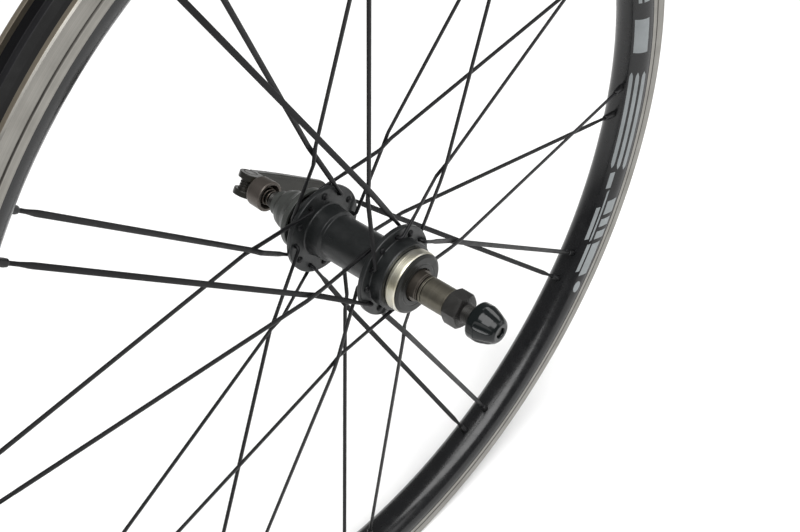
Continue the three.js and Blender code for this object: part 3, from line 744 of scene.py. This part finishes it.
def make_rim():
    """Hooked rim: gloss black nose, machined brake tracks and a black tyre channel."""
    w = RIM_HALF_WIDTH
    wall = [
        (BRAKE_INNER_R + 0.2, w), (GROOVE_R - 0.6, w), (GROOVE_R, w - 0.5), (GROOVE_R + 0.6, w),
        (RIM_OUTER_R - 0.8, w), (RIM_OUTER_R, w - 0.8), (RIM_OUTER_R, w - HOOK_WALL),
        (RIM_OUTER_R - 3, w - FLANGE_WALL), (BEAD_SEAT_R, w - FLANGE_WALL), (BEAD_SEAT_R, 7),
        (CHANNEL_FLOOR_R, 5),
    ]
    nose = [(*nose_point(i / 24), 0) for i in range(-24, 25)]
    left = [(r, -y) for r, y in reversed(wall)]

    def finish(r, y):
        if r < BRAKE_INNER_R + 0.25:
            return 0
        if abs(y) > w - 0.75 and r < RIM_OUTER_R - 0.3:
            return 1
        if r > RIM_OUTER_R - 2.2:
            return 2
        return 3

    outline = [*nose, *wall, *left]
    rim = turned("rim_body", outline, RIM_STEPS, 0.22, finish)
    drills = []
    for spoke in SPOKES:
        head_end, _, outer = spoke_line(spoke)[4:7]
        drills.append(bar("drill", head_end - outer * 9, head_end - outer * 1.5, NIPPLE_R + 0.2, 20))
    drills.append(bar("drill", polar(SPOKE_BED_R - 3, VALVE_ANGLE, 0),
                      polar(BEAD_SEAT_R + 2, VALVE_ANGLE, 0), VALVE_HOLE_R, 32))
    combine(rim, merged("drills", drills), "DIFFERENCE")
    finish_piece(rim, "rim", [RIM_BLACK, BRAKE_TRACK, RIM_LIP, RIM_CHANNEL], 30)


def graphic_patch(name, turn, side, start, end, low, high, lean=0.0, round_ends=0.0):
    """A thin painted patch on the nose, from one angle (degrees) to another and across it.

    lean slants the ends by so many degrees; round_ends is the length of each rounded end.
    """
    along, across = 28, 8
    skins = []
    for lift in (0.05, -0.15):
        skin = []
        for i in range(along + 1):
            share = i / along
            into = min(share, 1 - share) * (end - start)
            fill = 1.0
            if round_ends and into < round_ends:
                fill = max(math.sqrt(1 - (1 - into / round_ends) ** 2), 0.08)
            row = []
            for j in range(across + 1):
                width = (j / across - 0.5) * fill
                angle = start + (end - start) * share + lean * width
                r, y = nose_point(-side * ((low + high) / 2 + (high - low) * width), -lift)
                row.append(polar(r, math.radians(angle * side) + turn, y))
            skin.append(row)
        skins.append(skin)
    rings = []
    for top, bottom in zip(*skins):
        rings.append([*top, *bottom[::-1]])
    return loft(name, rings)


def make_graphics():
    """Plain grey stripes and dashes on both sides of the nose, two sets on each."""
    patches = []
    for side, turns in ((1, (0, 190)), (-1, (75, 235))):
        for turn in turns:
            for mark in GRAPHIC_MARKS:
                patches.append(graphic_patch("mark", math.radians(turn), side, *mark))
    finish_piece(merged("rim_graphics", patches), "rim", [RIM_GRAPHIC], 60)


def make_rim_strip():
    """Rubber strip in the floor of the tyre channel, over the spoke holes."""
    inner = CHANNEL_FLOOR_R + 0.05
    outline = [
        (inner, -4.6), (inner, 4.6), (inner + 2.5, 6.6), (inner + 3.2, 6.4), (inner + 0.9, 4.2),
        (inner + 0.9, -4.2), (inner + 3.2, -6.4), (inner + 2.5, -6.6),
    ]
    strip = turned("rim_strip_band", outline, 240, 0.2)
    hole = bar("drill", polar(CHANNEL_FLOOR_R - 2, VALVE_ANGLE, 0),
               polar(BEAD_SEAT_R + 4, VALVE_ANGLE, 0), VALVE_HOLE_R - 0.4, 32)
    combine(strip, hole, "DIFFERENCE")
    finish_piece(strip, "rim_strip", [STRIP_RUBBER])


make_rim()
make_graphics()
make_rim_strip()


# ---------------------------------------------------------------- hub


def make_hub_shell():
    """Hub shell: barrel, two drilled flanges with countersunk holes, bearing seats."""
    h = FLANGE_HALF_THICKNESS
    drive_out, drive_in = DRIVE_FLANGE_Y - h, DRIVE_FLANGE_Y + h
    left_in, left_out = LEFT_FLANGE_Y - h, LEFT_FLANGE_Y + h
    outline = [
        (BEARING_BORE_R, THREAD_INNER_Y + GAP), (19, THREAD_INNER_Y + GAP),
        (19.3, THREAD_INNER_Y + 1.2), (19.3, drive_out, 0.6),
        (FLANGE_R, drive_out, 0.7), (FLANGE_R, drive_in, 0.7), (16.5, drive_in, 1.2),
        (BARREL_R, drive_in + 4, 3), (BARREL_R, left_in - 10, 0.5), (LEFT_BOSS_R, left_in - 9, 0.5),
        (LEFT_BOSS_R + 0.6, left_in, 1), (FLANGE_R, left_in, 0.7), (FLANGE_R, left_out, 0.7),
        (17.4, left_out, 0.6), (17.4, left_out + 7), (BEARING_BORE_R, left_out + 7),
        (BEARING_BORE_R, LEFT_BALL_Y - 5.2), (9.5, LEFT_BALL_Y - 5.8), (9.5, DRIVE_BALL_Y + 5.8),
        (BEARING_BORE_R, DRIVE_BALL_Y + 5.2),
    ]
    shell = turned("hub_shell_body", outline, 144, 0.25)
    drills = []
    for flange_y in (DRIVE_FLANGE_Y, LEFT_FLANGE_Y):
        for k in range(PAIRS):
            angle = PAIR_PHASE + k * PAIR_STEP
            sink = SPOKE_HOLE_R + 0.45
            stations = ((-h - 1, sink + 0.6), (-h + 0.35, SPOKE_HOLE_R),
                        (h - 0.35, SPOKE_HOLE_R), (h + 1, sink + 0.6))
            rings = [
                section(polar(HOLE_CIRCLE_R, angle, flange_y + y), Vector((0, 1, 0)),
                        polar(1, angle, 0), radius, radius, 20)
                for y, radius in stations
            ]
            drills.append(loft("drill", rings))
    combine(shell, merged("drills", drills), "DIFFERENCE")
    finish_piece(shell, "hub_shell", [HUB_BLACK], 30)


def make_thread_ring():
    """Bright ring that carries the freewheel thread."""
    outline = [
        (BEARING_BORE_R, THREAD_INNER_Y), (THREAD_R - 0.9, THREAD_INNER_Y),
        (THREAD_R - 0.9, THREAD_INNER_Y - 1),
    ]
    for i in range(THREAD_TURNS):
        y = THREAD_INNER_Y - 1.5 - i * THREAD_PITCH
        outline += [(THREAD_R, y - 0.12, 0.1), (THREAD_R, y - THREAD_PITCH + 0.2, 0.1),
                    (THREAD_R - 0.05, y - THREAD_PITCH + 0.04, 0.04)]
    outline += [
        (THREAD_R - 0.1, THREAD_INNER_Y - 6.2), (THREAD_R - 0.5, THREAD_INNER_Y - 6.8),
        (15.9, THREAD_INNER_Y - 6.8), (15.9, THREAD_INNER_Y - 5), (BEARING_BORE_R, THREAD_INNER_Y - 5),
    ]
    finish_piece(turned("thread_ring_body", outline, 144, 0.15), "freewheel_thread_ring", [ZINC])


def make_bearing(prefix, ball_y, out):
    """Ball race and the caged balls that run in it."""
    r = BALL_CIRCLE_R
    race = [(14.5, -4), (14.5, 2.7), (13.5, 2.7), (r + 3.7, 0, 0), (r + 2.85, -2.4, 1.5),
            (r + 0.7, -3.65, 1.5), (r - 1.5, -3.75), (r - 1.5, -4.9), (13.4, -4.9)]
    outline = [(p[0], ball_y + out * p[1], *p[2:]) for p in race]
    cup = turned(f"{prefix}_race", outline, 96, 0.2)
    finish_piece(cup, f"{prefix}_bearing_cup", [BEARING_STEEL])
    pieces = []
    for k in range(BALLS):
        work = bmesh.new()
        bmesh.ops.create_uvsphere(work, u_segments=28, v_segments=16, radius=BALL_R)
        mesh = mesh_of("ball", work)
        mesh.transform(Matrix.Translation(polar(r, 2 * math.pi * k / BALLS, ball_y)))
        pieces.append(bpy.data.objects.new("ball", mesh))
    y0, y1 = ball_y + out * 1.9, ball_y + out * 2.5
    cage = [(r - 0.9, y0), (r + 1.4, y0), (r + 1.4, y1), (r - 0.9, y1)]
    pieces.append(turned("cage", cage, 72, 0.1))
    finish_piece(merged(f"{prefix}_caged_balls", pieces), f"{prefix}_ball_cage", [BEARING_STEEL])


def make_cone(prefix, ball_y, out, end_y):
    """Bearing cone with a curved ball track, a groove and two wrench flats."""
    groove_y = end_y - out * 0.9
    outline = [
        (AXLE_R + SLIP, ball_y - out * 3.4), (5.9, ball_y - out * 3.4), (6.05, ball_y - out * 0.2, 2),
        (6.6, ball_y + out * 2.1, 2), (8, ball_y + out * 3.5, 1), (8.8, ball_y + out * 3.8),
        (8.8, groove_y - out * 0.3), (8.35, groove_y), (8.6, end_y, 0.35),
        (AXLE_R + SLIP, end_y),
    ]
    made = turned(f"{prefix}_cone_body", outline, 96, 0.2)
    flat, across = 4, 15
    slabs = []
    for side in (-1, 1):
        work = bmesh.new()
        bmesh.ops.create_cube(work, size=1)
        mesh = mesh_of("slab", work)
        mesh.transform(Matrix.Diagonal((40, flat, 10, 1)))
        mesh.transform(Matrix.Translation((0, end_y - out * flat / 2, side * (across / 2 + 5))))
        mesh.transform(Matrix.Rotation(0.9, 4, "Y"))
        slabs.append(bpy.data.objects.new("slab", mesh))
    combine(made, merged("slabs", slabs), "DIFFERENCE")
    finish_piece(bevelled(made, 0.15, 2), f"{prefix}_cone", [CONE_STEEL])


def make_dust_cap(prefix, y0, y1, seat_r, seat_depth, out):
    """Pressed cover round the cone, with a bevelled edge and a shallow rolled groove."""
    outline = [
        (9.4, y1, 0.3), (11.4, y1, 0.2), (11.9, y1 - out * 0.18, 0.2), (12.4, y1, 0.2),
        (15.4, y1, 0.4), (16.9, y1 - out * 0.9, 0.4), (16.9, y0), (seat_r, y0),
        (seat_r, y0 - out * seat_depth), (seat_r - 1, y0 - out * seat_depth),
        (seat_r - 1, y0 + out * 0.2), (9.4, y1 - out * 0.8),
    ]
    finish_piece(turned(f"{prefix}_cover", outline, 128, 0.2), f"{prefix}_dust_cap", [CAP_BLACK])


def threaded(radius, root, y0, y1, pitch):
    """Outline points of a thread on a shaft, from one station to another."""
    points = []
    count = int(abs(y1 - y0) / pitch)
    step = (y1 - y0) / count
    for i in range(count):
        y = y0 + i * step
        points += [(root, y, 0), (radius, y + step * 0.4, 0), (radius, y + step * 0.6, 0)]
    points.append((root, y1, 0))
    return points


def make_axle():
    """Hollow axle with threaded ends."""
    end = AXLE_HALF_LENGTH
    root = AXLE_R - 0.45
    outline = [
        (AXLE_BORE_R, -end), (AXLE_R - 0.9, -end),
        *threaded(AXLE_R, root, -end + 0.6, -end + 16.6, AXLE_PITCH),
        (AXLE_R - 0.1, -end + 18, 0), (AXLE_R - 0.1, end - 28, 0),
        *threaded(AXLE_R, root, end - 26.6, end - 0.6, AXLE_PITCH),
        (AXLE_R - 0.9, end), (AXLE_BORE_R, end),
    ]
    finish_piece(turned("axle_shaft", outline, 64, 0.15), "axle", [DARK_STEEL], 50)


def make_ring(name, node, inner, outer, y0, y1, chamfer, material):
    """A plain turned ring with chamfered edges."""
    outline = [(inner, y0), (outer - chamfer, y0), (outer, y0 + chamfer), (outer, y1 - chamfer),
               (outer - chamfer, y1), (inner, y1)]
    finish_piece(turned(name, outline, 96, 0.12), node, [material])


def make_hex_nut(name, node, across, bore, y0, y1, teeth_y=None):
    """Hexagonal nut with turned corners and, on one face, radial teeth that grip the dropout."""
    corner = across / math.sqrt(3)
    face = across / 2 - 0.4
    trim = (corner - face) * 0.6
    nut = turned(f"{name}_blank", [
        (bore, y0), (face, y0), (corner, y0 + trim), (corner, y1 - trim), (face, y1), (bore, y1),
    ], 120, 0.1)
    prism = bar("prism", Vector((0, y0 - 1, 0)), Vector((0, y1 + 1, 0)), corner, 6)
    combine(nut, prism, "INTERSECT")
    if teeth_y is not None:
        teeth = []
        for k in range(36):
            angle = 2 * math.pi * k / 36
            teeth.append(bar("tooth", polar(bore + 0.5, angle, teeth_y), polar(face + 1, angle, teeth_y),
                             0.22, 4, 0.5))
        combine(nut, merged("teeth", teeth), "DIFFERENCE")
    nut.name = name
    finish_piece(bevelled(nut, 0.12, 2), node, [NUT_STEEL])


def make_end_cap():
    """Smooth domed cap over the left locknut."""
    y = DROPOUT_Y
    outline = [
        (AXLE_R + 0.15, y), (7.2, y, 0.3), (7.2, y - 3.6, 0.5), (8.8, y - 4.2, 1), (10.4, y - 6.4, 3),
        (11.6, y - 9.6, 3), (12, y - 12.6, 2), (13.6, y - 15.5, 2), (17.9, y - 19.7, 1.2),
        (17.9, y - 22.9), (16.2, y - 22.9), (15.6, y - 20.1), (10.6, y - 15.5), (10.1, y - 10.2),
        (AXLE_R + 0.15, y - 8.4),
    ]
    finish_piece(turned("end_cap_body", outline, 128, 0.35), "left_end_cap", [END_CAP])


make_hub_shell()
make_thread_ring()
make_bearing("drive", DRIVE_BALL_Y, -1)
make_bearing("left", LEFT_BALL_Y, 1)
make_cone("drive", DRIVE_BALL_Y, -1, extent("drive_cone", 1)[0])
make_cone("left", LEFT_BALL_Y, 1, extent("left_cone", 1)[1])
make_dust_cap("drive", -34.4, -35.8, 15.6, 1.6, -1)
make_dust_cap("left", 42.2, 43.6, 13, 0.8, 1)
make_axle()
make_ring("drive_washer", "drive_lock_washer", AXLE_R + SLIP, WASHER_R, -42.8, -41.4, 0.2, DULL_STEEL)
make_ring("left_washer", "left_lock_washer", AXLE_R + SLIP, WASHER_R, 48.2, 49.6, 0.2, DULL_STEEL)
make_ring("sleeve_body", "spacer_sleeve", AXLE_R + SLIP, WASHER_R, -57.7, -43.1, 0.4, DULL_STEEL)
make_hex_nut("drive_hex_nut", "drive_locknut", LOCKNUT_FLATS, AXLE_R + SLIP, -DROPOUT_Y, -58, -DROPOUT_Y)
make_hex_nut("left_hex_nut", "left_locknut", LOCKNUT_FLATS, AXLE_R + SLIP, 49.9, 57)
make_end_cap()


# ---------------------------------------------------------------- skewer


def make_rod():
    """Skewer rod, threaded where the nut runs on it."""
    y0, y1 = extent("skewer_rod", 1)
    outline = [
        (0, y0, 0), (ROD_R - 0.5, y0),
        *threaded(ROD_R, ROD_R - 0.4, y0 + 0.6, y0 + 24.6, ROD_PITCH),
        (ROD_R - 0.1, y0 + 26, 0), (ROD_R - 0.1, y1 - 0.5), (ROD_R - 0.5, y1), (0, y1, 0),
    ]
    finish_piece(turned("rod_shaft", outline, 40, 0.1), "skewer_rod", [DARK_STEEL], 50)


def make_spring(node, y0, y1, r0, r1, turns):
    """Conical wire spring whose end coils lie flat."""
    centres = []
    steps = turns * 28
    for i in range(steps + 1):
        t = i / steps
        flat = 0.5 / turns
        rise = min(max((t - flat) / (1 - 2 * flat), 0), 1)
        centres.append(polar(r0 + (r1 - r0) * t, 2 * math.pi * turns * t, y0 + (y1 - y0) * rise))
    finish_piece(swept(f"{node}_wire", centres, SPRING_WIRE_R, 14), node, [SPRING], 60)


def make_skewer_nut():
    """Skewer nut: round clamping flange and a fluted cone with a hole in its tip."""
    y0, y1 = NUT_OUTER_Y, NUT_INNER_Y
    outline = [
        (7.4, y1), (9.3, y1, 0.4), (10, y1 - 0.8, 0.8), (10.1, y1 - 5.4, 2), (9.5, y1 - 8, 3),
        (8.1, y1 - 11.8, 3), (6.5, y0 + 1, 1), (5.2, y0, 0.5), (3.1, y0), (ROD_R + GAP, y0 + 0.5),
        (ROD_R + GAP, y1 - 6), (4.4, y1 - 6), (4.4, y1 - 3.6), (7.4, y1 - 3.6),
    ]
    nut = turned("skewer_nut_body", outline, 96, 0.2)
    flutes = []
    for k in range(NUT_FLUTES):
        angle = 2 * math.pi * (k + 0.5) / NUT_FLUTES
        flutes.append(bar("flute", polar(13.4, angle, y1 - 5.4), polar(10, angle, y0 - 1), 4, 40))
    combine(nut, merged("flutes", flutes), "DIFFERENCE")
    finish_piece(cast(nut, 0.2, 4), "skewer_nut", [NUT_GLOSS], 80)
    make_ring("locking_insert", "nut_insert", ROD_R + SLIP, 4.1, y1 - 5.7, y1 - 4.1, 0.1, NYLON)


def make_cup():
    """Cam cup with a round back and the bushing that the cam rolls on."""
    outline = [
        (7.2, CUP_OPEN_Y), (8.6, CUP_OPEN_Y), (9.1, CUP_OPEN_Y + 0.6, 0.4),
        (8.9, CUP_SEAT_Y - 1.4, 1.2), (8.5, CUP_SEAT_Y - 0.3, 0.4), (7.98, CUP_SEAT_Y - 0.3, 0),
        (7.98, CUP_SEAT_Y - 2.2), (ROD_R + GAP, CUP_SEAT_Y - 2.2),
        (ROD_R + GAP, CUP_SEAT_Y - 3.5), (7.2, CUP_SEAT_Y - 3.5, 0.6),
    ]
    finish_piece(turned("cup_body", outline, 128, 0.2), "cam_cup", [CUP_STEEL])
    make_ring("cam_bushing_ring", "cam_bushing", ROD_R + 0.15, 7.9, CUP_SEAT_Y - 2.1, CUP_SEAT_Y,
              0.3, BRASS)


LEVER_ALONG = polar(1, LEVER_ANGLE, 0)
LEVER_ACROSS = polar(1, LEVER_ANGLE + math.pi / 2, 0)


def lever_point(along, across, y):
    """The point at a distance along the lever, across it and along the hub axis."""
    point = LEVER_ALONG * along + LEVER_ACROSS * across
    point.y = y
    return point


def make_cross_pin():
    """Barrel pin between the lever's ears, with ribs, drilled for the rod."""
    outline = [(0, -EAR_OUTER, 0), (CAM_PIN_R - 0.4, -EAR_OUTER), (CAM_PIN_R, -EAR_OUTER + 0.4)]
    for i in range(4):
        y = -EAR_INNER + 0.3 + i * 1.6
        outline += [(CAM_PIN_R, y), (CAM_PIN_R, y + 0.9), (CAM_PIN_R - 0.5, y + 1.1),
                    (CAM_PIN_R - 0.5, y + 1.4)]
    outline += [(CAM_PIN_R, EAR_OUTER - 0.4), (CAM_PIN_R - 0.4, EAR_OUTER), (0, EAR_OUTER, 0)]
    pin = turned("barrel_pin", outline, 64, 0.12)
    moved(pin, Vector((0, 1, 0)).rotation_difference(LEVER_ACROSS).to_matrix().to_4x4())
    moved(pin, Matrix.Translation((0, CAM_PIN_Y, 0)))
    hole = bar("drill", Vector((0, CAM_PIN_Y - 8, 0)), Vector((0, CAM_PIN_Y + 8, 0)), ROD_R + SLIP, 32)
    combine(pin, hole, "DIFFERENCE")
    finish_piece(pin, "cross_pin", [PIN_STEEL])


def blade_y(along):
    """Station of the middle of the lever's blade, at a distance along it."""
    t = along / LEVER_LENGTH
    return CAM_PIN_Y + BLADE_ROOT_Y - BLADE_SWEEP * t * t


def blade_outline(start, end, inner_inset, outer_inset, steps=24):
    """Outline of the blade between its inner and outer face."""
    inner, outer = [], []
    for i in range(steps + 1):
        s = start + (end - start) * i / steps
        half = BLADE_ROOT_HALF - BLADE_TAPER * s / LEVER_LENGTH
        inner.append((s, blade_y(s) - half + inner_inset))
        outer.append((s, blade_y(s) + half - outer_inset))
    return inner + outer[::-1]


def plate(outline, across0, across1):
    """A plate in the plane of the lever, from an outline of (along, y) points."""
    rings = [[lever_point(s, across, y) for s, y in outline] for across in (across0, across1)]
    return loft("plate", rings)


def make_lever():
    """Lever: two eccentric ears on the cross pin and a curved blade, hollow on its inner side."""
    cam_y = CAM_PIN_Y - CAM_OFFSET
    # A little inside the ears, as a join of shapes with faces in one plane can come out empty.
    blade_half_width = EAR_OUTER - 0.05
    body = plate(blade_outline(5.2, LEVER_LENGTH, 0, 0), -blade_half_width, blade_half_width)
    ears = bar("ears", lever_point(0, -EAR_OUTER, cam_y), lever_point(0, EAR_OUTER, cam_y), CAM_R, 64)
    combine(body, ears, "UNION")
    tip = LEVER_LENGTH - TIP_LENGTH
    strip = plate([(-12, 60), (tip, 60), (tip, 130), (-12, 130)], -8, 8)
    combine(strip, bar("round", lever_point(tip, 0, 60), lever_point(tip, 0, 130), TIP_R, 64), "UNION")
    combine(body, strip, "INTERSECT")
    hole = bar("drill", lever_point(0, -10, CAM_PIN_Y), lever_point(0, 10, CAM_PIN_Y),
               CAM_PIN_R + 0.15, 48)
    combine(body, hole, "DIFFERENCE")
    slot = plate([(-12, 80), (FORK_DEPTH, 80), (FORK_DEPTH, 115), (-12, 115)], -EAR_INNER, EAR_INNER)
    combine(body, slot, "DIFFERENCE")
    hollow = plate(blade_outline(HOLLOW_START, LEVER_LENGTH - 2.5, -3, 1.9),
                   -HOLLOW_HALF_WIDTH, HOLLOW_HALF_WIDTH)
    combine(body, hollow, "DIFFERENCE")
    body.name = "lever_body"
    finish_piece(cast(body, 0.25, 6), "lever", [LEVER_METAL], 80)


make_rod()
make_spring("drive_spring", -73.2, -76.9, 3.9, 6.4, 3)
make_spring("left_spring", 73.4, 81.2, 3.9, 6.2, 4)
make_skewer_nut()
make_cup()
make_cross_pin()
make_lever()


# ---------------------------------------------------------------- stage, light and camera


def make_floor():
    """Plain pale floor under the rim."""
    size = 6.0
    z = CAD_BOX[0][2]
    mesh = bpy.data.meshes.new("floor")
    mesh.from_pydata([(-size, -size, z), (size, -size, z), (size, size, z), (-size, size, z)], [],
                     [(0, 1, 2, 3)])
    floor = bpy.data.objects.new("floor", mesh)
    bpy.context.scene.collection.objects.link(floor)
    made = Finish("pale_floor", 0.0)
    tone = made.spread(made.noise(60, 4.0), 0, 1, 0.3, 0.7)
    made.link("Base Color", made.mix(tone, (0.9, 0.9, 0.9), (0.93, 0.93, 0.925)))
    made.shader.inputs["Roughness"].default_value = 0.9
    made.shader.inputs["Specular IOR Level"].default_value = 0.0
    mesh.materials.append(made.material)


def make_light(name, place, target, size, power):
    """A square softbox aimed at a point."""
    data = bpy.data.lights.new(name, "AREA")
    data.shape = "SQUARE"
    data.size = size
    data.energy = power
    light = bpy.data.objects.new(name, data)
    bpy.context.scene.collection.objects.link(light)
    light.location = place
    light.rotation_euler = (Vector(place) - Vector(target)).to_track_quat("Z", "Y").to_euler()


def make_world(strength):
    """Even pale surroundings."""
    world = bpy.data.worlds.new("studio")
    world.use_nodes = True
    background = world.node_tree.nodes["Background"]
    background.inputs[0].default_value = (1, 1, 1, 1)
    background.inputs[1].default_value = strength
    bpy.context.scene.world = world


def make_camera():
    """Camera above and ahead of the drive side, looking down at the hub."""
    azimuth = math.radians(-47.986)
    elevation = math.radians(40.483)
    back = Vector((math.sin(azimuth) * math.cos(elevation),
                   -math.cos(azimuth) * math.cos(elevation), math.sin(elevation)))
    right = Vector((math.cos(azimuth), math.sin(azimuth), 0))
    data = bpy.data.cameras.new("camera")
    data.sensor_width = 36
    data.lens = 54.41
    data.clip_start = 0.01
    camera = bpy.data.objects.new("camera", data)
    bpy.context.scene.collection.objects.link(camera)
    up = back.cross(right)
    turn = Matrix((right, up, back)).transposed().to_4x4()
    camera.matrix_world = Matrix.Translation((-0.35228, -0.34034, 0.41009)) @ turn
    bpy.context.scene.camera = camera


make_floor()
make_light("key", (-0.6, -0.8, 2.4), (0, 0, -0.1), 2.6, 128)
make_light("fill", (1.8, -1.6, 1.2), (0, 0, 0), 2.0, 22)
make_world(0.26)
make_camera()
bpy.context.scene.view_settings.view_transform = "Standard"
